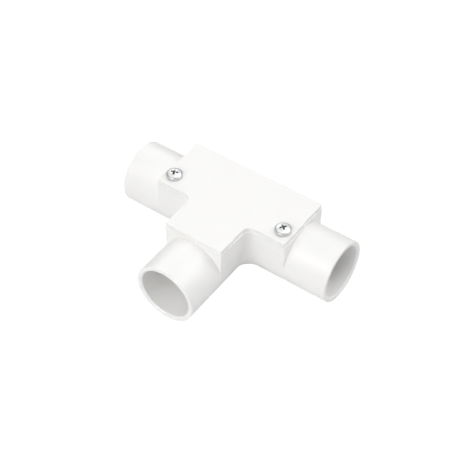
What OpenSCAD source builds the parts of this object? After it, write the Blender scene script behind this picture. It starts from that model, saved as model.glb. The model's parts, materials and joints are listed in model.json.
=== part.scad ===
// Inspection tee for round conduit: a moulded base with three plain sockets,
// a flat T-shaped lid and two cover screws that run in threaded inserts.
//
// Millimetres. The origin is where the run's axis crosses the branch's axis.
// +X points along the run, the branch points along -Y and +Z points to the lid.

/* [Sockets] */
// Bore of each socket, a slip fit on 20 mm rigid conduit
socket_bore = 20.2; // [20.1:0.05:20.4]
// Wall thickness of each socket
socket_wall = 1.9; // [1.7:0.1:2.1]
// Depth of each socket, from its mouth to the stop
socket_depth = 18; // [15:1:18]
// Bore through each stop, which leaves the conduit's own bore clear
stop_bore = 17.2; // [16:0.1:17.6]
// Lead-in chamfer inside each mouth
mouth_lead_in = 0.5; // [0.1:0.05:0.6]
// Chamfer on the outer edge of each mouth
mouth_edge = 0.15; // [0.1:0.05:0.4]

/* [Base] */
// Length of the run, mouth to mouth
run_length = 90; // [90:1:100]
// Distance from the run's axis to the branch's mouth
branch_reach = 45; // [45:1:50]
// Distance from the tee's centre to the outer face of each end wall
box_reach = 28; // [28:0.5:30]
// Thickness of each end wall
end_wall = 3; // [2.5:0.1:3.5]
// Height of the rim, where the lid sits, above the run's axis
rim_height = 12.4; // [12.4:0.1:14]
// Radius of the cavity's round floor, and half its width
cavity_r = 10.2; // [10:0.1:10.4]
// How far each upright wall leans out between the axis and the rim
wall_draft = 0.2; // [0.1:0.05:0.4]
// Radius of the blend between the run's wall and the branch's wall
corner_fillet = 3.5; // [2.5:0.5:5]

/* [Lid] */
// Thickness of the lid's plate
lid_thickness = 1.9; // [1.5:0.05:2.5]
// Gap between the lid's edge and the outer face of the wall below it
lid_inset = 0.15; // [0.05:0.05:0.4]
// Radius of the lid's outer corners
lid_corner = 0.8; // [0.4:0.1:1.5]
// Depth of the locating lip under the lid
lip_depth = 1.2; // [0.8:0.1:2]
// Thickness of the locating lip
lip_thickness = 1; // [0.8:0.1:1.4]
// Gap between the locating lip and the cavity's walls
lip_gap = 0.2; // [0.1:0.05:0.3]
// Diameter of the two screw holes in the lid
screw_hole_d = 3.4; // [3.3:0.1:3.6]

/* [Screws and inserts] */
// Distance of each screw from the branch's axis
screw_x = 23.9; // [23.5:0.1:24]
// Distance of each screw from the run's axis, on the branch's side
screw_y = 7.1; // [6.9:0.1:7.2]
// Outside diameter of the thread's ridges
thread_d = 2.94; // [2.9:0.01:2.98]
// Pitch of the thread
thread_pitch = 0.5; // [0.45:0.05:0.5]
// Length of the shank under the head
shank_length = 6; // [5:0.5:6]
// Diameter of the head
head_d = 6; // [5.5:0.1:6.2]
// Height of the head
head_height = 2.4; // [1.8:0.1:2.6]
// Span of the cross recess in the head
recess_span = 3; // [2.6:0.1:3.2]
// Turn of the left screw's recess about its axis, in degrees
left_recess_turn = 18; // [0:1:89]
// Turn of the right screw's recess about its axis, in degrees
right_recess_turn = 52; // [0:1:89]
// Outside diameter of each insert
insert_d = 4.2; // [4:0.1:4.2]
// Length of each insert
insert_length = 4.5; // [4:0.1:4.6]

/* [Hidden] */
$fn = 96;

tube_r = socket_bore / 2 + socket_wall;
run_mouth = run_length / 2;
stop_r = stop_bore / 2;
wall_foot = tube_r + 0.05;
wall_rim = wall_foot + wall_draft;
cavity_reach = box_reach - end_wall;
// Distance of the corner blend's upright axis from the run's axis and the branch's axis
blend_axis = tube_r + corner_fillet;
// The blend's tube sits this much inside the straight tubes that it joins
blend_sink = 0.02;
// The blend runs this far past its centre line, where it is buried in the straight tubes
blend_past = 4;

// Screw posts: a rounded column in each corner between an end wall and the branch-side wall
post_r = 2.9;
post_foot = 5;
post_clearance = 0.3;
insert_pocket_d = insert_d;
insert_top_drop = 0.2;
pocket_floor = rim_height - insert_top_drop - insert_length - 0.2;

lid_top = rim_height + lid_thickness;
lid_half_width = wall_rim - lid_inset;
lid_reach = box_reach - lid_inset;

head_gap = 0.02;
thread_crest_r = thread_d / 2;
thread_root_r = thread_crest_r - 0.54 * thread_pitch;
running_gap = 0.05;
cut = 1;

// ---------------------------------------------------------------- base

// Places its children on the run's axis, pointing along +X
module along_run() {
    rotate([90, 0, 90]) children();
}

// Places its children on the branch's axis, pointing along -Y
module along_branch() {
    rotate([90, 0, 0]) children();
}

// Places its children at both ends of the run, pointing outwards
module at_run_ends() {
    along_run() children();
    mirror([1, 0, 0]) along_run() children();
}

// Cross-section of a barrel: round below the axis, with upright walls above it
module barrel_section(r, foot, rim, top) {
    circle(r);
    polygon([[-foot, 0], [foot, 0], [rim, top], [-rim, top]]);
}

// One barrel along the run and one along the branch, joined by a swept blend in each corner
module tee_barrels(r, foot, rim, top, reach) {
    along_run()
        linear_extrude(height = 2 * reach, center = true)
            barrel_section(r, foot, rim, top);
    along_branch()
        linear_extrude(height = reach)
            barrel_section(r, foot, rim, top);
    corner_blend(r - blend_sink, foot - blend_sink, rim - blend_sink, top);
    mirror([1, 0, 0])
        corner_blend(r - blend_sink, foot - blend_sink, rim - blend_sink, top);
}

// The barrel's section swept a quarter turn about an upright axis in the corner
module corner_blend(r, foot, rim, top) {
    translate([blend_axis, -blend_axis, 0])
        rotate([0, 0, 90])
            rotate_extrude(angle = 90)
                translate([blend_axis, 0])
                    intersection() {
                        barrel_section(r, foot, rim, top);
                        translate([-2 * rim, -2 * top])
                            square([2 * rim + blend_past, 4 * top]);
                    }
}

// Outside of one socket, with its mouth's edge chamfered
module socket_shell(mouth) {
    rotate_extrude()
        polygon([
            [0, cavity_reach],
            [tube_r, cavity_reach],
            [tube_r, mouth - mouth_edge],
            [tube_r - mouth_edge, mouth],
            [0, mouth]
        ]);
}

// Stepped hole through one socket and its stop
module socket_hole(mouth) {
    bore_r = socket_bore / 2;
    rotate_extrude()
        polygon([
            [0, cavity_reach - cut],
            [stop_r, cavity_reach - cut],
            [stop_r, mouth - socket_depth],
            [bore_r, mouth - socket_depth],
            [bore_r, mouth - mouth_lead_in],
            [bore_r + mouth_lead_in + cut, mouth + cut],
            [0, mouth + cut]
        ]);
}

// Places its children at both screws, mirrored about the branch's axis
module at_each_screw() {
    translate([screw_x, -screw_y, 0]) children();
    mirror([1, 0, 0])
        translate([screw_x, -screw_y, 0]) children();
}

// Plan of one screw post: a round column filled out to the end wall and the side wall
module post_plan(grow) {
    to_end_wall = cavity_reach + cut - screw_x;
    to_side_wall = cavity_r + cut - screw_y;
    side = post_r + grow;
    circle(side);
    translate([-side, -to_side_wall])
        square([side + to_end_wall, to_side_wall]);
    translate([0, -to_side_wall])
        square([to_end_wall, to_side_wall + side]);
}

// Both screw posts, hollowed below to leave the cable way clear
module screw_posts() {
    difference() {
        at_each_screw()
            translate([0, 0, post_foot])
                linear_extrude(height = rim_height - post_foot)
                    post_plan(0);
        along_run()
            cylinder(r = stop_r + post_clearance, h = run_length, center = true);
    }
}

module tee_body() {
    color("whitesmoke")
        difference() {
            union() {
                difference() {
                    union() {
                        tee_barrels(tube_r, wall_foot, wall_rim, rim_height, box_reach);
                        at_run_ends() socket_shell(run_mouth);
                        along_branch() socket_shell(branch_reach);
                    }
                    tee_barrels(cavity_r, cavity_r, cavity_r, rim_height + cut, cavity_reach);
                }
                screw_posts();
            }
            at_run_ends() socket_hole(run_mouth);
            along_branch() socket_hole(branch_reach);
            at_each_screw()
                translate([0, 0, pocket_floor])
                    cylinder(d = insert_pocket_d, h = rim_height);
        }
}

// ---------------------------------------------------------------- lid

// Plan of a T with its two inner corners blended about the same axes as the base's
module tee_plan(half_width, reach) {
    square([2 * reach, 2 * half_width], center = true);
    translate([-half_width, -reach])
        square([2 * half_width, reach]);
    for (side = [-1, 1])
        scale([side, 1])
            difference() {
                translate([half_width - cut, -blend_axis])
                    square(blend_axis - half_width + cut);
                translate([blend_axis, -blend_axis])
                    circle(blend_axis - half_width);
            }
}

// What rounds off one outer corner of a plan, with the corner at the origin
module corner_nib(r) {
    difference() {
        translate([-r, -r]) square(r + cut);
        translate([-r, -r]) circle(r);
    }
}

module lid_plan() {
    difference() {
        tee_plan(lid_half_width, lid_reach);
        for (side = [-1, 1]) scale([side, 1]) {
            translate([lid_reach, lid_half_width]) corner_nib(lid_corner);
            translate([lid_reach, -lid_half_width]) scale([1, -1]) corner_nib(lid_corner);
            translate([lid_half_width, -lid_reach]) scale([1, -1]) corner_nib(lid_corner);
        }
    }
}

// Ring that drops inside the cavity and stops short of the screw posts
module lip_plan() {
    outer = cavity_r - lip_gap;
    reach = cavity_reach - lip_gap;
    difference() {
        tee_plan(outer, reach);
        tee_plan(outer - lip_thickness, reach - lip_thickness);
        for (side = [-1, 1])
            scale([side, 1])
                translate([screw_x - post_r - lip_gap, -cavity_r - cut])
                    square([2 * post_r, cavity_r + cut - screw_y + post_r + lip_gap]);
    }
}

module lid() {
    color("white")
        difference() {
            union() {
                translate([0, 0, rim_height])
                    linear_extrude(height = lid_thickness)
                        lid_plan();
                translate([0, 0, rim_height - lip_depth])
                    linear_extrude(height = lip_depth + lid_thickness / 2)
                        lip_plan();
            }
            at_each_screw()
                translate([0, 0, rim_height - cut])
                    cylinder(d = screw_hole_d, h = lid_thickness + 2 * cut);
        }
}

// ---------------------------------------------------------------- screws and inserts

// Pan head with a domed top, its underside at z = 0
module pan_head(recess_turn) {
    head_r = head_d / 2;
    side_height = head_height * 0.52;
    dome_drop = head_height - side_height;
    dome_r = (head_r * head_r + dome_drop * dome_drop) / (2 * dome_drop);
    recess_depth = head_height * 0.7;
    recess_width = recess_span * 0.24;
    difference() {
        intersection() {
            cylinder(r = head_r, h = head_height + cut);
            translate([0, 0, head_height - dome_r]) sphere(r = dome_r);
        }
        translate([0, 0, head_height - recess_depth])
            rotate([0, 0, recess_turn])
                for (quarter = [0, 90])
                    rotate([0, 0, quarter])
                        translate([-recess_span / 2, -recess_width / 2, 0])
                            cube([recess_span, recess_width, head_height]);
    }
}

// Shank with one closed ridge for each pitch of its thread, its top at z = 0
module shank() {
    ridges = floor((shank_length - thread_pitch) / thread_pitch);
    rotate_extrude()
        polygon(concat(
            [[0, head_height / 4], [thread_root_r, head_height / 4]],
            [for (i = [0 : ridges - 1], step = [0 : 3])
                let (z = -thread_pitch * (i + [0.6, 0.93, 1.05, 1.38][step]))
                    [step == 0 || step == 3 ? thread_root_r : thread_crest_r, z]],
            [[thread_root_r, -shank_length + 0.3],
             [thread_root_r - 0.3, -shank_length],
             [0, -shank_length]]
        ));
}

module cover_screw(side, recess_turn) {
    color("silver")
        translate([side * screw_x, -screw_y, lid_top + head_gap]) {
            pan_head(recess_turn);
            shank();
        }
}

// Threaded bush with a waist between its two gripping bands
module thread_insert(side) {
    outer_r = insert_d / 2;
    waist_r = outer_r - 0.3;
    lead = 0.25;
    band = insert_length / 3;
    color("darkgoldenrod")
        translate([side * screw_x, -screw_y, rim_height - insert_top_drop - insert_length])
            rotate_extrude()
                polygon([
                    [thread_crest_r + running_gap, 0],
                    [outer_r - lead, 0],
                    [outer_r, lead],
                    [outer_r, band],
                    [waist_r, band + lead],
                    [waist_r, 2 * band - lead],
                    [outer_r, 2 * band],
                    [outer_r, insert_length],
                    [thread_crest_r + running_gap, insert_length]
                ]);
}

module screw_left() {
    cover_screw(-1, left_recess_turn);
}

module screw_right() {
    cover_screw(1, right_recess_turn);
}

module insert_left() {
    thread_insert(-1);
}

module insert_right() {
    thread_insert(1);
}

tee_body();
lid();
screw_left();
screw_right();
insert_left();
insert_right();
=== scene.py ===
import json
import math

import bmesh
import bpy
from mathutils import Matrix, Quaternion, Vector


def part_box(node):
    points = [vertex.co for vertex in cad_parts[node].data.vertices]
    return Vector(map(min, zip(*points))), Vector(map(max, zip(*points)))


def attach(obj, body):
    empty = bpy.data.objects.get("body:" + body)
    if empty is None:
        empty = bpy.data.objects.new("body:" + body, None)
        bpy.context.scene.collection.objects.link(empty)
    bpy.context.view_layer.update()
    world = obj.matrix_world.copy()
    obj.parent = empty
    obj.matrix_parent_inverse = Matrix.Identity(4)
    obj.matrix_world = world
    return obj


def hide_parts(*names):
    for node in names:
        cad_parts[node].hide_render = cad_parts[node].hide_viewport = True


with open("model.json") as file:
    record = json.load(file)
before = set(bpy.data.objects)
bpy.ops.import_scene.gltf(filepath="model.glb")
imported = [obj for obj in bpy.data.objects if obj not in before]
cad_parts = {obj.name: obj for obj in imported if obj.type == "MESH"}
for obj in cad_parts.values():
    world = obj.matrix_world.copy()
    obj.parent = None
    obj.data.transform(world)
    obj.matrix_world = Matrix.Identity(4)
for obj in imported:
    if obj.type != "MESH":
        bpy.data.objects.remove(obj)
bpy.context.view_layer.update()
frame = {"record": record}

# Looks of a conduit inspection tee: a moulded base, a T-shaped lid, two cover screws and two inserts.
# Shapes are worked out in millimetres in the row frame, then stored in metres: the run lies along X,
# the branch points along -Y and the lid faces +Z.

MM = 0.001


def box_mm(node):
    """Lowest and highest corner of a CAD node, in millimetres."""
    low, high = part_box(node)
    return low / MM, high / MM


def mount_mm(name, dimension):
    """One dimension of a mount of the record, in millimetres."""
    return next(m["dims"][dimension] for m in frame["record"]["mounts"] if m["name"] == name)


# ---------------------------------------------------------------- sizes from the frame

BASE_LOW, BASE_HIGH = box_mm("tee_body")
LID_LOW, LID_HIGH = box_mm("lid")
SCREW_LOW, SCREW_HIGH = box_mm("screw_right")
INSERT_LOW, INSERT_HIGH = box_mm("insert_right")

TUBE_R = -BASE_LOW.z
RUN_MOUTH = BASE_HIGH.x
BRANCH_MOUTH = -BASE_LOW.y
RIM_Z = BASE_HIGH.z
RIM_HALF = BASE_HIGH.y
BORE_R = mount_mm("run_socket_right", "r_mm")
STOP_R = mount_mm("run_cable_way", "r_mm")
SOCKET_FLOOR = mount_mm("run_cable_way", "length_mm") / 2
CAVITY_REACH = SOCKET_FLOOR - mount_mm("branch_cable_way", "length_mm")

LID_HALF = LID_HIGH.y
LID_REACH = LID_HIGH.x
LID_TOP = LID_HIGH.z
LIP_FOOT = LID_LOW.z
LID_INSET = RIM_HALF - LID_HALF
BOX_REACH = LID_REACH + LID_INSET

SCREW_X = (INSERT_LOW.x + INSERT_HIGH.x) / 2
SCREW_Y = (INSERT_LOW.y + INSERT_HIGH.y) / 2
SCREW_FOOT = SCREW_LOW.z
SCREW_TOP = SCREW_HIGH.z
HEAD_R = (SCREW_HIGH.x - SCREW_LOW.x) / 2
INSERT_R = (INSERT_HIGH.x - INSERT_LOW.x) / 2

# ---------------------------------------------------------------- sizes of the details, in millimetres

CORNER_FILLET = 3.5
BLEND_AXIS = TUBE_R + CORNER_FILLET
RIM_EDGE = 0.18
BOX_EDGE = 0.3
END_WALL_LEAN = 0.04
ROOT_FILLET = 0.06
# The most of the end wall's width that the edge around it and the socket's root may take
BOX_EDGE_SHARE = 0.5
ROOT_SHARE = 0.35
MOUTH_EDGE = 0.14
MOUTH_LEAD_IN = 0.5
LEAD_IN_EDGE = 0.08
# Both edges of the lead-in are rounded through a middle point that is set in by this much
LEAD_IN_MIDDLE = 0.3 * LEAD_IN_EDGE
STOP_EDGE = 0.15
# The parting line stands this far proud of the moulding
WITNESS = 0.02
WITNESS_HALF_WIDTH = 0.12

CAVITY_R = 10.2
CAVITY_EDGE = 0.5
CAVITY_CHAMFER = 0.25
POST_R = 2.9
POST_FOOT = 5.0
POST_SET_BACK = 0.3
POST_HOLLOW_R = STOP_R + POST_SET_BACK
POCKET_GAP = 0.2
POCKET_FOOT = INSERT_LOW.z - POCKET_GAP
POCKET_EDGE = 0.15
# How far a cutting shape reaches past the surface that it cuts
OVERCUT = 1.0

LID_TOP_EDGE = 0.12
LID_DRAFT = 0.1
LID_FOOT_EDGE = 0.03
LID_CORNER = 0.5
LIP_GAP = 0.2
LIP_THICKNESS = 1.0
LIP_EDGE = 0.15
SCREW_HOLE_R = 1.7

HEAD_GAP = 0.02
HEAD_SEAT = LID_TOP + HEAD_GAP
HEAD_SHOULDER = 0.35
HEAD_FOOT_EDGE = 0.12
DOME_SLOPE = math.radians(32)
RECESS_SPAN = 3.0
RECESS_WIDTH = 0.78
RECESS_DEPTH = 1.6
RECESS_CORNER = 0.12
RECESS_CORNER_MIDDLE = 0.035
# Levels of the recess: share of its span, share of its width, and height above the head's top
RECESS_LEVELS = [(1.12, 1.12, 0.3), (0.6, 0.62, -0.8 * RECESS_DEPTH), (0.28, 0.5, -RECESS_DEPTH)]
RECESS_TURN = {"left": math.radians(18), "right": math.radians(52)}
POINT_HEIGHT = 0.35
POINT_INSET = 0.3
THREAD_PITCH = 0.5
THREAD_CREST_R = 1.47
THREAD_ROOT_R = 1.2
# One turn of the thread's section: share of the pitch, and share of the thread's height
THREAD_SECTION = [(0.0, 0.0), (0.25, 0.0), (0.56, 1.0), (0.69, 1.0)]
NUT_BORE_R = 1.52
NUT_GROOVE_R = 1.76
KNURL_DEPTH = 0.13
INSERT_GAP = 0.01
INSERT_EDGE = 0.15
INSERT_LEAD = 0.25
INSERT_WAIST = 0.3

QUARTER_STEPS = 36
SWEEP_STEPS = 28
EDGE_STEPS = 5
TURNED_STEPS = 96
WELD = 0.008
SMOOTH_ANGLE = math.radians(36)


def quarter(steps):
    """Angles from 0 to 90 degrees."""
    return [math.pi / 2 * i / steps for i in range(steps + 1)]


# ---------------------------------------------------------------- mesh building

class Shell:
    """Rings of points, in millimetres, joined by quads into one closed mesh."""

    def __init__(self):
        self.points = []
        self.faces = []

    def ring(self, points):
        start = len(self.points)
        self.points += points
        return range(start, len(self.points))

    def strip(self, first, second, closed):
        count = len(first)
        for i in range(count if closed else count - 1):
            j = (i + 1) % count
            self.faces.append((first[i], first[j], second[j], second[i]))

    def loft(self, rings, closed=True):
        marked = [self.ring(points) for points in rings]
        for first, second in zip(marked, marked[1:]):
            self.strip(first, second, closed)
        return marked

    def build(self, name):
        """Welds the rings, closes each open end with one face and returns the object."""
        mesh = bpy.data.meshes.new(name)
        mesh.from_pydata(self.points, [], self.faces)
        work = bmesh.new()
        work.from_mesh(mesh)
        bmesh.ops.remove_doubles(work, verts=work.verts, dist=WELD)
        open_edges = [edge for edge in work.edges if edge.is_boundary]
        if open_edges:
            bmesh.ops.holes_fill(work, edges=open_edges, sides=0)
        bmesh.ops.recalc_face_normals(work, faces=work.faces)
        work.to_mesh(mesh)
        work.free()
        made = bpy.data.objects.new(name, mesh)
        bpy.context.scene.collection.objects.link(made)
        return made


def combine(target, tool, operation):
    """Applies a boolean of tool to target and removes tool."""
    modifier = target.modifiers.new("combine", "BOOLEAN")
    modifier.operation = operation
    modifier.solver = "EXACT"
    modifier.object = tool
    graph = bpy.context.evaluated_depsgraph_get()
    result = bpy.data.meshes.new_from_object(target.evaluated_get(graph), depsgraph=graph)
    target.modifiers.clear()
    target.data = result
    bpy.data.objects.remove(tool)
    return target


def arc(centre_x, centre_y, radius, start, end, steps):
    """Points along an arc, from one angle to another in degrees."""
    angles = [math.radians(start + (end - start) * i / steps) for i in range(steps + 1)]
    return [(centre_x + radius * math.cos(a), centre_y + radius * math.sin(a)) for a in angles]


def tee_outline(half, reach, corner):
    """Outline of a T with rounded outer corners and blended inner corners."""
    right = arc(reach - corner, half - corner, corner, 90, 0, EDGE_STEPS)
    right += arc(reach - corner, corner - half, corner, 0, -90, EDGE_STEPS)
    right += arc(BLEND_AXIS, -BLEND_AXIS, BLEND_AXIS - half, 90, 180, SWEEP_STEPS)
    right += arc(half - corner, corner - reach, corner, 0, -90, EDGE_STEPS)
    return right + [(-x, y) for x, y in reversed(right)]


def at_height(outline, z):
    return [(x, y, z) for x, y in outline]


def prism(name, outline, foot, top):
    shell = Shell()
    shell.loft([at_height(outline, foot), at_height(outline, top)])
    return shell.build(name)


def turned_ring(centre, radius, z, knurl=0.0):
    """A ring about an upright axis. With a knurl, every other pair of points is set in."""
    points = []
    for i in range(TURNED_STEPS):
        angle = 2 * math.pi * i / TURNED_STEPS
        r = radius - (knurl if i % 4 > 1 else 0.0)
        points.append((centre[0] + r * math.cos(angle), centre[1] + r * math.sin(angle), z))
    return points


def turned(shell, centre, profile):
    """Turns a profile of (radius, z), or of (radius, z, knurl), about an upright axis."""
    shell.loft([turned_ring(centre, *entry) for entry in profile])


def thread(shell, centre, top, foot, end_r, far_r):
    """A right-hand thread on a bore or a shank, which fades out to end_r at both ends."""
    turns = math.ceil((top - foot) / THREAD_PITCH) + 1
    rows = [(turn + share, height) for turn in range(turns) for share, height in THREAD_SECTION]
    columns = []
    for i in range(TURNED_STEPS + 1):
        angle = 2 * math.pi * i / TURNED_STEPS
        column = []
        for share, height in rows:
            z = top + THREAD_PITCH * (i / TURNED_STEPS - share)
            z = min(max(z, foot), top)
            fade = min(1.0, (top - z) / THREAD_PITCH, (z - foot) / THREAD_PITCH)
            r = end_r + (far_r - end_r) * height * fade
            column.append((centre[0] + r * math.cos(angle), centre[1] + r * math.sin(angle), z))
        columns.append(column)
    shell.loft(columns, closed=False)


# ---------------------------------------------------------------- swept T

def barrel_half(radius, rim_half, top, edge):
    """One side of a barrel's section, from its lowest point up to its top edge, as (across, z)."""
    lower = [(radius * math.sin(a), -radius * math.cos(a)) for a in quarter(QUARTER_STEPS)[:-1]]
    lean = (rim_half - radius) / top
    steep = math.atan2(top - edge, rim_half)
    wall = []
    for i in range(1, QUARTER_STEPS // 2):
        slope = math.tan(steep * i / (QUARTER_STEPS // 2))
        z = radius * slope / (1 - lean * slope)
        wall.append((radius + lean * z, z))
    rounded = [(rim_half - edge + edge * math.cos(a), top - edge + edge * math.sin(a))
               for a in quarter(EDGE_STEPS)]
    seam = [(radius, -WITNESS_HALF_WIDTH), (radius + WITNESS, 0.0), (radius, WITNESS_HALF_WIDTH)]
    return lower + seam + wall + rounded


def cavity_half(radius, top):
    """One side of the cavity's section: a round floor and an upright wall."""
    lower = [(radius * math.sin(a), -radius * math.cos(a)) for a in quarter(QUARTER_STEPS)]
    return lower + [(radius, top)]


def top_row(half):
    """Points across the top of a section, from its far side to its near side, at even angles."""
    across, top = half[-1]
    start = math.atan2(top, across)
    steps = QUARTER_STEPS
    angles = [math.pi - start + (2 * start - math.pi) * i / steps for i in range(1, steps)]
    return [(top / math.tan(a), top) for a in angles]


def open_section(half):
    """Both sides of a section without its top, from the near top edge to the far one."""
    return list(reversed(half)) + [(-u, z) for u, z in half[1:]]


def to_right(along, across, z):
    return (along, across, z)


def to_left(along, across, z):
    return (-along, across, z)


def to_branch(along, across, z):
    return (across, -along, z)


def sweep_middle(shell, half):
    """The straight back of the T and its two swept inner corners."""
    shell.loft([[(x, u, z) for u, z in half] for x in (-BLEND_AXIS, BLEND_AXIS)], closed=False)
    for side in (-1, 1):
        rings = []
        for i in range(SWEEP_STEPS + 1):
            turn = math.pi / 2 * (1 + i / SWEEP_STEPS)
            rings.append([(side * (BLEND_AXIS + (BLEND_AXIS - u) * math.cos(turn)),
                           (BLEND_AXIS - u) * math.sin(turn) - BLEND_AXIS, z) for u, z in half])
        shell.loft(rings, closed=False)


def sweep_arm(shell, half, place, rings):
    """One arm: an open length out to the first of its closed rings, then those rings."""
    length = len(open_section(half))
    start = [place(BLEND_AXIS, u, z) for u, z in open_section(half)]
    placed = [[place(*point) for point in ring] for ring in rings]
    shell.loft([start, placed[0][:length]], closed=False)
    shell.loft(placed)


# ---------------------------------------------------------------- base

def socket_rings(section, mouth):
    """Rings from the box's edge over the end wall and the socket's outside, then down its bore."""
    columns = []
    for u, z in section:
        reach = math.hypot(u, z)
        seam = WITNESS if abs(z) < WITNESS_HALF_WIDTH / 2 else 0.0
        columns.append((u / reach, z / reach, reach, TUBE_R + seam, seam))
    stages = []

    def stage(rule):
        """Adds a ring: rule gives the distance along the arm and the radius of each column."""
        ring = []
        for across, up, reach, tube, seam in columns:
            along, radius = rule(reach, tube, seam)
            ring.append((along, radius * across, radius * up))
        stages.append(ring)

    for a in quarter(EDGE_STEPS):
        stage(lambda reach, tube, seam, a=a: (
            BOX_REACH - BOX_EDGE * (1 - math.sin(a)),
            reach - min(BOX_EDGE, BOX_EDGE_SHARE * (reach - tube)) * (1 - math.cos(a))))
    for a in quarter(EDGE_STEPS):
        stage(lambda reach, tube, seam, a=a: (
            BOX_REACH + END_WALL_LEAN + ROOT_FILLET * (1 - math.cos(a)),
            tube + min(ROOT_FILLET, ROOT_SHARE * (reach - tube)) * (1 - math.sin(a))))
    for a in quarter(EDGE_STEPS):
        stage(lambda reach, tube, seam, a=a: (
            mouth - MOUTH_EDGE * (1 - math.sin(a)) + seam * math.sin(a),
            tube - MOUTH_EDGE * (1 - math.cos(a))))
    for back, grow in ((0.0, LEAD_IN_EDGE), (LEAD_IN_MIDDLE, LEAD_IN_MIDDLE), (LEAD_IN_EDGE, 0.0)):
        stage(lambda reach, tube, seam, back=back, grow=grow: (
            mouth + seam - back, BORE_R + MOUTH_LEAD_IN - back + grow))
    for back, shrink in ((LEAD_IN_EDGE, 0.0), (LEAD_IN_MIDDLE, LEAD_IN_MIDDLE), (0.0, LEAD_IN_EDGE)):
        stage(lambda reach, tube, seam, back=back, shrink=shrink: (
            mouth - MOUTH_LEAD_IN + back - shrink, BORE_R + back))
    for a in quarter(EDGE_STEPS):
        stage(lambda reach, tube, seam, a=a: (
            SOCKET_FLOOR + STOP_EDGE * (1 - math.sin(a)),
            BORE_R - STOP_EDGE * (1 - math.cos(a))))
    for a in quarter(EDGE_STEPS):
        stage(lambda reach, tube, seam, a=a: (
            SOCKET_FLOOR - STOP_EDGE * (1 - math.cos(a)),
            STOP_R + STOP_EDGE * (1 - math.sin(a))))
    stage(lambda reach, tube, seam: (CAVITY_REACH - STOP_EDGE, STOP_R))
    return stages


def base_skin():
    half = barrel_half(TUBE_R, RIM_HALF, RIM_Z, RIM_EDGE)
    section = open_section(half) + top_row(half)
    shell = Shell()
    sweep_middle(shell, half)
    for place, mouth in ((to_right, RUN_MOUTH), (to_left, RUN_MOUTH), (to_branch, BRANCH_MOUTH)):
        sweep_arm(shell, half, place, socket_rings(section, mouth))
    return shell.build("base_moulding")


def cavity_core():
    """The space inside the base as a solid, up to a little above the rim."""
    half = cavity_half(CAVITY_R, RIM_Z + OVERCUT)
    section = open_section(half) + top_row(half)
    rings = []
    for a in quarter(EDGE_STEPS):
        share = 1 - CAVITY_EDGE * (1 - math.cos(a)) / CAVITY_R
        along = CAVITY_REACH - CAVITY_EDGE * (1 - math.sin(a))
        rings.append([(along, u * share, z * share) for u, z in section])
    shell = Shell()
    sweep_middle(shell, half)
    for place in (to_right, to_left, to_branch):
        sweep_arm(shell, half, place, rings)
    return shell.build("cavity_core")


def rim_chamfer_core():
    """A flared T that breaks the cavity's inner edge at the rim."""
    shell = Shell()
    rings = []
    for grow in (-CAVITY_CHAMFER, OVERCUT + CAVITY_CHAMFER):
        outline = tee_outline(CAVITY_R + grow, CAVITY_REACH + grow, CAVITY_EDGE)
        rings.append(at_height(outline, RIM_Z - CAVITY_CHAMFER + grow))
    shell.loft(rings)
    return shell.build("rim_chamfer_core")


def screw_post(side, top):
    """A screw post: a rounded column filled out to the end wall and the side wall."""
    end = CAVITY_REACH + OVERCUT
    foot = -CAVITY_R - OVERCUT
    outline = [(end, foot), (end, SCREW_Y + POST_R)]
    outline += arc(SCREW_X, SCREW_Y, POST_R, 90, 180, 3 * EDGE_STEPS)
    outline += [(SCREW_X - POST_R, foot)]
    post = prism("screw_post", [(side * x, y) for x, y in outline], POST_FOOT, top)
    around = [2 * math.pi * i / TURNED_STEPS for i in range(TURNED_STEPS)]
    hollow = Shell()
    hollow.loft([[(x, POST_HOLLOW_R * math.sin(a), POST_HOLLOW_R * math.cos(a)) for a in around]
                 for x in (side * (SCREW_X - 2 * POST_R), side * (end + OVERCUT))])
    return combine(post, hollow.build("hollow"), "DIFFERENCE")


def insert_pocket(side):
    """The pocket that holds an insert, with a broken edge at the rim."""
    shell = Shell()
    turned(shell, (side * SCREW_X, SCREW_Y), [
        (0.0, POCKET_FOOT),
        (INSERT_R, POCKET_FOOT),
        (INSERT_R, RIM_Z - POCKET_EDGE),
        (INSERT_R + POCKET_EDGE + OVERCUT, RIM_Z + OVERCUT),
        (0.0, RIM_Z + OVERCUT),
    ])
    return shell.build("pocket")


def build_base():
    base = base_skin()
    for core in (cavity_core(), rim_chamfer_core()):
        for side in (-1, 1):
            combine(core, screw_post(side, RIM_Z + 2 * OVERCUT), "DIFFERENCE")
        combine(base, core, "DIFFERENCE")
    for side in (-1, 1):
        combine(base, insert_pocket(side), "DIFFERENCE")
    return base


# ---------------------------------------------------------------- lid

def lid_plate():
    shell = Shell()
    rings = []
    for a in quarter(EDGE_STEPS):
        inset = LID_DRAFT + LID_FOOT_EDGE * (1 - math.sin(a))
        rings.append((inset, RIM_Z + LID_FOOT_EDGE * (1 - math.cos(a))))
    for a in quarter(EDGE_STEPS):
        inset = LID_TOP_EDGE * (1 - math.cos(a))
        rings.append((inset, LID_TOP - LID_TOP_EDGE * (1 - math.sin(a))))
    shell.loft([at_height(tee_outline(LID_HALF - inset, LID_REACH - inset, LID_CORNER - inset), z)
                for inset, z in rings])
    return shell.build("inspection_lid")


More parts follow.
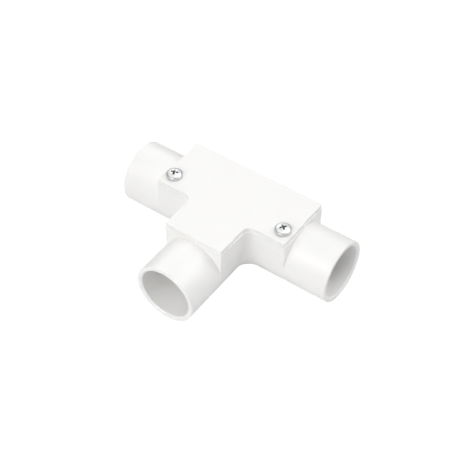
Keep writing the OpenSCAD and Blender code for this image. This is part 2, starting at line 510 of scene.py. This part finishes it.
def lid_lip():
    """The locating lip: a ring that stops short of both screw posts."""
    half = CAVITY_R - LIP_GAP
    reach = CAVITY_REACH - LIP_GAP
    inside = (RIM_Z + LID_TOP) / 2
    steps = [(0, inside), (0, LIP_FOOT + LIP_EDGE), (LIP_EDGE, LIP_FOOT),
             (LIP_THICKNESS - LIP_EDGE, LIP_FOOT), (LIP_THICKNESS, LIP_FOOT + LIP_EDGE),
             (LIP_THICKNESS, inside), (0, inside)]
    shell = Shell()
    shell.loft([at_height(tee_outline(half - inset, reach - inset, LID_CORNER), z)
                for inset, z in steps])
    lip = shell.build("lip")
    clear = POST_R + LIP_GAP
    for side in (-1, 1):
        near, far = side * (SCREW_X - clear), side * (CAVITY_REACH + OVERCUT)
        front, back = -CAVITY_R - OVERCUT, SCREW_Y + clear
        notch = [(near, front), (far, front), (far, back), (near, back)]
        combine(lip, prism("notch", notch, LIP_FOOT - OVERCUT, LID_TOP), "DIFFERENCE")
    return lip


def build_lid():
    lid = combine(lid_plate(), lid_lip(), "UNION")
    for side in (-1, 1):
        shell = Shell()
        turned(shell, (side * SCREW_X, SCREW_Y), [
            (0.0, RIM_Z - OVERCUT),
            (SCREW_HOLE_R, RIM_Z - OVERCUT),
            (SCREW_HOLE_R, LID_TOP + OVERCUT),
            (0.0, LID_TOP + OVERCUT),
        ])
        combine(lid, shell.build("hole"), "DIFFERENCE")
    return lid


# ---------------------------------------------------------------- screws and inserts

def head_profile():
    """Pan head from the centre of its dome to the top of its shank, as (radius, z)."""
    inner = HEAD_R - HEAD_SHOULDER * (1 - math.sin(DOME_SLOPE))
    rise = inner * math.tan(DOME_SLOPE) / 2
    shoulder_z = SCREW_TOP - rise - HEAD_SHOULDER * math.cos(DOME_SLOPE)
    steps = 2 * EDGE_STEPS
    profile = [(inner * i / steps, SCREW_TOP - rise * (i / steps) ** 2) for i in range(steps)]
    profile += arc(HEAD_R - HEAD_SHOULDER, shoulder_z, HEAD_SHOULDER,
                   90 - math.degrees(DOME_SLOPE), 0, steps)
    edge = HEAD_FOOT_EDGE
    profile += [(HEAD_R - edge * (1 - math.cos(a)), HEAD_SEAT + edge * (1 - math.sin(a)))
                for a in quarter(EDGE_STEPS)]
    return profile + [(THREAD_ROOT_R + edge, HEAD_SEAT), (THREAD_ROOT_R, HEAD_SEAT - edge)]


def recess_outline(turn, span, width):
    """A cross with slightly rounded inner corners."""
    half = width / 2
    middle = half + RECESS_CORNER_MIDDLE
    wing = [(half + RECESS_CORNER, -half), (span / 2, -half), (span / 2, half),
            (half + RECESS_CORNER, half), (middle, middle)]
    points = []
    for quarter_turn in range(4):
        a = turn + quarter_turn * math.pi / 2
        points += [(x * math.cos(a) - y * math.sin(a), x * math.sin(a) + y * math.cos(a)) for x, y in wing]
    return points


def build_screw(name, side, turn):
    centre = (side * SCREW_X, SCREW_Y)
    shell = Shell()
    profile = head_profile()
    turned(shell, centre, profile)
    thread_foot = SCREW_FOOT + POINT_HEIGHT
    thread(shell, centre, profile[-1][1], thread_foot, THREAD_ROOT_R, THREAD_CREST_R)
    turned(shell, centre, [
        (THREAD_ROOT_R, thread_foot),
        (THREAD_ROOT_R - POINT_INSET, SCREW_FOOT),
        (0.0, SCREW_FOOT),
    ])
    screw = shell.build(name)
    rings = []
    for span_share, width_share, height in RECESS_LEVELS:
        outline = recess_outline(turn, RECESS_SPAN * span_share, RECESS_WIDTH * width_share)
        rings.append([(centre[0] + x, centre[1] + y, SCREW_TOP + height) for x, y in outline])
    recess = Shell()
    recess.loft(rings)
    return combine(screw, recess.build("recess"), "DIFFERENCE")


def build_insert(name, side):
    """A threaded bush with two knurled bands and a waist between them."""
    centre = (side * SCREW_X, SCREW_Y)
    foot, top = INSERT_LOW.z, INSERT_HIGH.z
    band = (top - foot) / 3
    crest = INSERT_R - INSERT_GAP
    waist = crest - INSERT_WAIST
    shell = Shell()
    turned(shell, centre, [
        (NUT_BORE_R, top - INSERT_EDGE),
        (NUT_BORE_R + INSERT_EDGE, top),
        (crest - INSERT_EDGE, top),
        (crest, top - INSERT_EDGE, KNURL_DEPTH),
        (crest, foot + 2 * band, KNURL_DEPTH),
        (waist, foot + 2 * band - INSERT_LEAD),
        (waist, foot + band + INSERT_LEAD),
        (crest, foot + band, KNURL_DEPTH),
        (crest, foot + INSERT_LEAD, KNURL_DEPTH),
        (crest - INSERT_LEAD, foot),
        (NUT_BORE_R + INSERT_EDGE, foot),
        (NUT_BORE_R, foot + INSERT_EDGE),
    ])
    thread(shell, centre, top - INSERT_EDGE, foot + INSERT_EDGE, NUT_BORE_R, NUT_GROOVE_R)
    return shell.build(name)


# ---------------------------------------------------------------- materials

class Nodes:
    """Short ways to add and join the nodes of one tree."""

    def __init__(self, tree):
        self.tree = tree

    def add(self, kind, **inputs):
        made = self.tree.nodes.new(kind)
        for key, value in inputs.items():
            self.feed(value, made.inputs[key.replace("_", " ")])
        return made

    def feed(self, value, socket):
        if isinstance(value, bpy.types.NodeSocket):
            self.tree.links.new(value, socket)
        else:
            socket.default_value = value

    def maths(self, operation, first, second=0.0):
        made = self.add("ShaderNodeMath")
        made.operation = operation
        self.feed(first, made.inputs[0])
        self.feed(second, made.inputs[1])
        return made.outputs[0]

    def vector_maths(self, operation, first, second):
        made = self.add("ShaderNodeVectorMath")
        made.operation = operation
        self.feed(first, made.inputs[0])
        self.feed(second, made.inputs[1])
        return made

    def fit(self, value, low, high, to_low, to_high):
        """Maps low to high onto to_low to to_high, and holds still beyond both ends."""
        made = self.add("ShaderNodeMapRange", Value=value)
        for key, number in zip(("From Min", "From Max", "To Min", "To Max"), (low, high, to_low, to_high)):
            made.inputs[key].default_value = number
        return made.outputs["Result"]

    def mix(self, share, first, second):
        """A mix of two colours. The node names its sockets alike for every kind of data."""
        made = self.add("ShaderNodeMix")
        made.data_type = "RGBA"
        first_colour, second_colour = 6, 7
        mixed_colour = 2
        self.feed(share, made.inputs["Factor"])
        self.feed(first, made.inputs[first_colour])
        self.feed(second, made.inputs[second_colour])
        return made.outputs[mixed_colour]


class Material(Nodes):
    """A node material around one Principled shader."""

    def __init__(self, name, **values):
        self.material = bpy.data.materials.new(name)
        self.material.use_nodes = True
        super().__init__(self.material.node_tree)
        self.shader = self.tree.nodes["Principled BSDF"]
        for key, value in values.items():
            self.shader.inputs[key.replace("_", " ")].default_value = value
        self.place = self.add("ShaderNodeTexCoord").outputs["Object"]

    def scaled(self, x, y, z):
        """Coordinates stretched along each axis."""
        mapping = self.add("ShaderNodeMapping", Vector=self.place)
        mapping.inputs["Scale"].default_value = (x, y, z)
        return mapping.outputs["Vector"]

    def noise(self, size, detail=3.0, place=None):
        """Noise whose patches are about size millimetres across."""
        made = self.add("ShaderNodeTexNoise", Vector=place or self.place,
                        Scale=1 / (size * MM), Detail=detail)
        return made.outputs["Fac"]

    def bump(self, height, distance, below=None):
        """A bump of the given height, in millimetres, on top of another normal."""
        made = self.add("ShaderNodeBump", Height=height, Strength=1.0, Distance=distance * MM)
        if below is not None:
            self.feed(below, made.inputs["Normal"])
        return made.outputs["Normal"]

    def edges(self, width):
        """1 on the object's edges and 0 on its faces."""
        soft = self.add("ShaderNodeBevel", Radius=width * MM)
        soft.samples = 6
        flat = self.add("ShaderNodeNewGeometry").outputs["Normal"]
        likeness = self.vector_maths("DOT_PRODUCT", soft.outputs["Normal"], flat)
        return self.fit(likeness.outputs["Value"], 0.995, 0.9, 0.0, 1.0)

    def shade_in_creases(self, reach):
        """1 in the open, and less where other surfaces lie within reach millimetres: the mask for painted
        shade in creases.
        """
        made = self.add("ShaderNodeAmbientOcclusion", Distance=reach * MM)
        made.samples = 16
        return made.outputs["AO"]

    def set(self, key, value):
        self.feed(value, self.shader.inputs[key])


def grey(value, warmth):
    """A light grey, with less blue the warmer it is."""
    return (value, value * (1 - 0.3 * warmth), value * (1 - warmth), 1.0)


PVC_IOR = 1.53
PVC_DULL = grey(0.925, 0.022)
PVC_BRIGHT = grey(0.94, 0.017)
PVC_RUBBED = grey(0.96, 0.008)
# Painted shade: the colour that creases and hollows darken towards
PVC_CREASE_SHADE = grey(0.74, 0.05)
# Widths, reaches and heights of the surface's marks are in millimetres
PVC_CLOUD = 14.0
FLOW_WIDTH = 2.2
# Coordinates along the flow are scaled by this, which makes its marks 25 times longer than wide
FLOW_SCALE = 0.04
RUBBED_WIDTH = 0.2
CREASE_SHADE_REACH = 1.2
PEEL_WIDTH = 1.2
PEEL_HEIGHT = 0.004
GRAIN_WIDTH = 0.12

ZINC_BLUE = (0.70, 0.73, 0.77, 1.0)
ZINC_STRAW = (0.80, 0.79, 0.75, 1.0)
ZINC_SCUFF = (0.55, 0.55, 0.56, 1.0)
# Painted dark: the colour of the painted reflection on the shoulder and of the painted shade in the recess
ZINC_PAINTED_DARK = (0.22, 0.22, 0.23, 1.0)
TURNING_PITCH = 0.11
# The painted dark reflection on the shoulder starts this far in from the head's rim
DARK_RIM = 0.6
# Depths below the head's top between which the shoulder's painted dark reflection fades to 0.3 of its
# strength
SHOULDER_FADES = (0.85, 1.05)
# Depths below the head's top between which painted shade darkens the recess
RECESS_DARKENS = (0.35, 0.6)
# The recess's painted shade fades out over this width around it
RECESS_SPREAD = 0.15

BRASS_BRIGHT = (0.80, 0.61, 0.30, 1.0)
BRASS_TARNISH = (0.58, 0.40, 0.18, 1.0)


def pvc(name, roughness, grain):
    """White moulded PVC: faint flow bands, an orange peel surface, painted shade in its creases and rubbed
    edges.
    """
    made = Material(name, IOR=PVC_IOR)
    along_run = made.noise(FLOW_WIDTH, 1.0, made.scaled(FLOW_SCALE, 1.0, 1.0))
    along_branch = made.noise(FLOW_WIDTH, 1.0, made.scaled(1.0, FLOW_SCALE, 1.0))
    parts = made.add("ShaderNodeSeparateXYZ", Vector=made.place)
    on_run = made.maths("GREATER_THAN", made.maths("ABSOLUTE", parts.outputs["X"]), BLEND_AXIS * MM)
    band = made.maths("ADD", made.maths("MULTIPLY", along_run, on_run),
                      made.maths("MULTIPLY", along_branch, made.maths("SUBTRACT", 1.0, on_run)))
    cloud = made.noise(PVC_CLOUD, 3.0)
    rubbed = made.maths("MULTIPLY", made.edges(RUBBED_WIDTH), made.fit(made.noise(3.0), 0.4, 0.62, 0.0, 1.0))
    tone = made.mix(made.fit(cloud, 0.3, 0.7, 0.0, 1.0), PVC_DULL, PVC_BRIGHT)
    tone = made.mix(made.maths("MULTIPLY", rubbed, 0.4), tone, PVC_RUBBED)
    # Painted shade: creases and hollows darken towards the crease shade colour where other surfaces lie near
    unshaded = made.fit(made.shade_in_creases(CREASE_SHADE_REACH), 0.2, 0.7, 0.0, 1.0)
    made.set("Base Color", made.mix(unshaded, PVC_CREASE_SHADE, tone))
    finish = made.maths("ADD", made.fit(band, 0.2, 0.8, -0.012, 0.012),
                        made.fit(cloud, 0.3, 0.7, roughness - 0.03, roughness + 0.03))
    made.set("Roughness", made.maths("SUBTRACT", finish, made.maths("MULTIPLY", rubbed, 0.02)))
    peel = made.bump(made.noise(PEEL_WIDTH, 2.0), PEEL_HEIGHT)
    made.set("Normal", made.bump(made.noise(GRAIN_WIDTH, 2.0), grain, peel))
    return made.material


def zinc(name, centre):
    """Bright zinc plate: turning rings, a faint tint, small scuffs, a painted dark reflection on the
    shoulder and painted shade in the recess.
    """
    made = Material(name, Metallic=1.0)
    offset = made.vector_maths("SUBTRACT", made.place, (centre[0] * MM, centre[1] * MM, 0.0))
    parts = made.add("ShaderNodeSeparateXYZ", Vector=offset.outputs[0])
    x, y, z = parts.outputs["X"], parts.outputs["Y"], parts.outputs["Z"]
    squares = made.maths("ADD", made.maths("MULTIPLY", x, x), made.maths("MULTIPLY", y, y))
    radius = made.maths("SQRT", squares)
    rings = made.maths("SINE", made.maths("MULTIPLY", radius, 2 * math.pi / (TURNING_PITCH * MM)))
    cloud = made.noise(1.1, 4.0)
    fine = made.noise(0.16, 3.0)
    tint = made.mix(made.fit(cloud, 0.35, 0.65, 0.0, 1.0), ZINC_BLUE, ZINC_STRAW)
    tint = made.mix(made.fit(fine, 0.55, 0.75, 0.0, 0.5), tint, ZINC_SCUFF)
    fade_from, fade_to = [(SCREW_TOP - depth) * MM for depth in SHOULDER_FADES]
    dark_from, dark_to = [(SCREW_TOP - depth) * MM for depth in RECESS_DARKENS]
    # Painted dark reflection: the head's shoulder is darkened near its rim
    rim = made.fit(radius, (HEAD_R - DARK_RIM) * MM, (HEAD_R - HEAD_SHOULDER) * MM, 0.0, 0.75)
    shoulder = made.maths("MULTIPLY", rim, made.fit(z, fade_to, fade_from, 0.3, 1.0))
    # Painted shade: the recess is darkened below the dome
    deep = made.fit(z, dark_from, dark_to, 0.0, 0.85)
    inside = made.fit(radius, (RECESS_SPAN / 2) * MM, (RECESS_SPAN / 2 + RECESS_SPREAD) * MM, 1.0, 0.0)
    painted_dark = made.maths("MAXIMUM", shoulder, made.maths("MULTIPLY", deep, inside))
    made.set("Base Color", made.mix(painted_dark, tint, ZINC_PAINTED_DARK))
    made.set("Roughness", made.maths("ADD", made.fit(cloud, 0.3, 0.7, 0.28, 0.4),
                                     made.fit(fine, 0.5, 0.75, 0.0, 0.12)))
    turned_marks = made.bump(rings, 0.0011)
    made.set("Normal", made.bump(fine, 0.006, turned_marks))
    return made.material


def brass(name):
    """Plain turned brass with darker tarnish in patches."""
    made = Material(name, Metallic=1.0)
    cloud = made.noise(0.8, 4.0)
    fine = made.noise(0.1, 2.0)
    made.set("Base Color", made.mix(made.fit(cloud, 0.4, 0.65, 0.0, 1.0), BRASS_BRIGHT, BRASS_TARNISH))
    made.set("Roughness", made.fit(cloud, 0.3, 0.7, 0.29, 0.44))
    made.set("Normal", made.bump(fine, 0.004))
    return made.material


# ---------------------------------------------------------------- pieces

def dress(piece, material, body, node):
    """Takes a finished piece to metres, smooths it, and ties it to the frame."""
    piece.data.transform(Matrix.Scale(MM, 4))
    piece.data.materials.clear()
    piece.data.materials.append(material)
    piece.data.polygons.foreach_set("material_index", [0] * len(piece.data.polygons))
    piece.data.shade_smooth()
    piece.data.set_sharp_from_angle(angle=SMOOTH_ANGLE)
    smoothing = piece.modifiers.new("even_normals", "WEIGHTED_NORMAL")
    smoothing.keep_sharp = True
    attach(piece, body)
    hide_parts(node)


# The lid's surface is a little duller and grainier than the base's
dress(build_base(), pvc("pvc_base", roughness=0.34, grain=0.0012), "base", "tee_body")
dress(build_lid(), pvc("pvc_lid", roughness=0.42, grain=0.003), "cover", "lid")
for label, side in (("left", -1), ("right", 1)):
    plate = zinc("zinc_plate_" + label, (side * SCREW_X, SCREW_Y))
    dress(build_screw("cover_screw_" + label, side, RECESS_TURN[label]), plate,
          label + "_screw", "screw_" + label)
    dress(build_insert("brass_insert_" + label, side), brass("turned_brass_" + label),
          "base", "insert_" + label)


# ---------------------------------------------------------------- stage, light and camera

# The floor lies a little below the part, so that light also reaches the underside
FLOOR_DROP = 8.0
FLOOR_Z = -TUBE_R - FLOOR_DROP
FLOOR_SIZE = 4000.0
FLOOR_COLOUR = (0.86, 0.86, 0.86, 1.0)
CAMERA_AZIMUTH = math.radians(35.96)
CAMERA_ELEVATION = math.radians(46.46)
CAMERA_ROLL = math.radians(-0.31)
CAMERA_DISTANCE = 434.8
CAMERA_LENS = 93.4
CAMERA_NEAR = 10.0
AIM = Vector((-2.8, -4.25, -1.8))

WHITE_TO_CAMERA = 1.06
WALL_LEVEL = 0.15
TENT_LEVEL = 0.8
# The tent's brightness goes from 0.2 at the horizon to 1.0 where the upward slope is 0.1
HORIZON_BAND = (0.0, 0.1, 0.2, 1.0)
SOFTBOX_DISTANCE = 700.0
SOFTBOX_SIZE = 500.0
# Azimuth and elevation in degrees, with 0, 0 on the branch's side, then the power in watts
SOFTBOXES = {
    "front": (0, 36, 2.45),
    "front_high": (0, 62, 0.36),
    "front_left": (315, 36, 0.6),
    "right_high": (120, 62, 1.2),
    "back_right": (135, 36, 1.45),
    "back_left": (225, 36, 1.12),
}


def floor():
    """A pale floor that looks white from above, is clear from below, and bounces light up at the part."""
    half = FLOOR_SIZE / 2 * MM
    square = ((-half, -half), (half, -half), (half, half), (-half, half))
    corners = [(x, y, FLOOR_Z * MM) for x, y in square]
    mesh = bpy.data.meshes.new("floor")
    mesh.from_pydata(corners, [], [(0, 1, 2, 3)])
    plane = bpy.data.objects.new("floor", mesh)
    bpy.context.scene.collection.objects.link(plane)
    material = bpy.data.materials.new("pale_floor")
    material.use_nodes = True
    material.node_tree.nodes.clear()
    nodes = Nodes(material.node_tree)
    matt = nodes.add("ShaderNodeBsdfDiffuse", Color=FLOOR_COLOUR)
    white = nodes.add("ShaderNodeEmission", Strength=WHITE_TO_CAMERA)
    below = nodes.add("ShaderNodeMixShader", Fac=nodes.add("ShaderNodeNewGeometry").outputs["Backfacing"])
    nodes.feed(white.outputs[0], below.inputs[1])
    nodes.feed(nodes.add("ShaderNodeBsdfTransparent").outputs[0], below.inputs[2])
    seen = nodes.add("ShaderNodeMixShader", Fac=nodes.add("ShaderNodeLightPath").outputs["Is Camera Ray"])
    nodes.feed(matt.outputs[0], seen.inputs[1])
    nodes.feed(below.outputs[0], seen.inputs[2])
    nodes.feed(seen.outputs[0], nodes.add("ShaderNodeOutputMaterial").inputs["Surface"])
    mesh.materials.append(material)


def facing(azimuth, elevation):
    """Direction from the part's origin, with azimuth 0 along -Y and 90 degrees along +X."""
    return Vector((math.sin(azimuth) * math.cos(elevation),
                   -math.cos(azimuth) * math.cos(elevation),
                   math.sin(elevation)))


def softbox(name, azimuth, elevation, power):
    """A large square lamp that faces the part."""
    lamp = bpy.data.lights.new(name, "AREA")
    lamp.size = SOFTBOX_SIZE * MM
    lamp.energy = power
    held = bpy.data.objects.new(name, lamp)
    towards = facing(math.radians(azimuth), math.radians(elevation))
    held.location = towards * SOFTBOX_DISTANCE * MM
    held.rotation_euler = (-towards).to_track_quat("-Z", "Y").to_euler()
    bpy.context.scene.collection.objects.link(held)


def surroundings():
    """Dim walls that are white to the camera; shiny surfaces see a bright tent with a darker horizon."""
    world = bpy.data.worlds.new("studio")
    bpy.context.scene.world = world
    world.use_nodes = True
    nodes = Nodes(world.node_tree)
    background = world.node_tree.nodes["Background"]
    background.inputs["Color"].default_value = (1.0, 1.0, 1.0, 1.0)
    backwards = nodes.add("ShaderNodeNewGeometry").outputs["Incoming"]
    up = nodes.maths("MULTIPLY", nodes.add("ShaderNodeSeparateXYZ", Vector=backwards).outputs["Z"], -1.0)
    path = nodes.add("ShaderNodeLightPath")
    tent = nodes.maths("MULTIPLY", nodes.fit(up, *HORIZON_BAND), TENT_LEVEL)
    glossy = path.outputs["Is Glossy Ray"]
    walls = nodes.maths("MULTIPLY", nodes.maths("SUBTRACT", 1.0, glossy), WALL_LEVEL)
    level = nodes.maths("ADD", nodes.maths("MULTIPLY", glossy, tent), walls)
    seen = path.outputs["Is Camera Ray"]
    unseen = nodes.maths("MULTIPLY", level, nodes.maths("SUBTRACT", 1.0, seen))
    level = nodes.maths("ADD", unseen, nodes.maths("MULTIPLY", seen, WHITE_TO_CAMERA))
    nodes.feed(level, background.inputs["Strength"])


def camera():
    """The photograph's own viewpoint, from a fit of its edges."""
    back = facing(CAMERA_AZIMUTH, CAMERA_ELEVATION)
    lens = bpy.data.cameras.new("camera")
    lens.lens = CAMERA_LENS
    lens.clip_start = CAMERA_NEAR * MM
    held = bpy.data.objects.new("camera", lens)
    held.location = (AIM + back * CAMERA_DISTANCE) * MM
    held.rotation_mode = "QUATERNION"
    roll = Quaternion((0.0, 0.0, 1.0), CAMERA_ROLL)
    held.rotation_quaternion = (-back).to_track_quat("-Z", "Y") @ roll
    bpy.context.scene.collection.objects.link(held)
    bpy.context.scene.camera = held


floor()
for name, (azimuth, elevation, power) in SOFTBOXES.items():
    softbox(name, azimuth, elevation, power)
surroundings()
camera()
bpy.context.scene.view_settings.view_transform = "Standard"
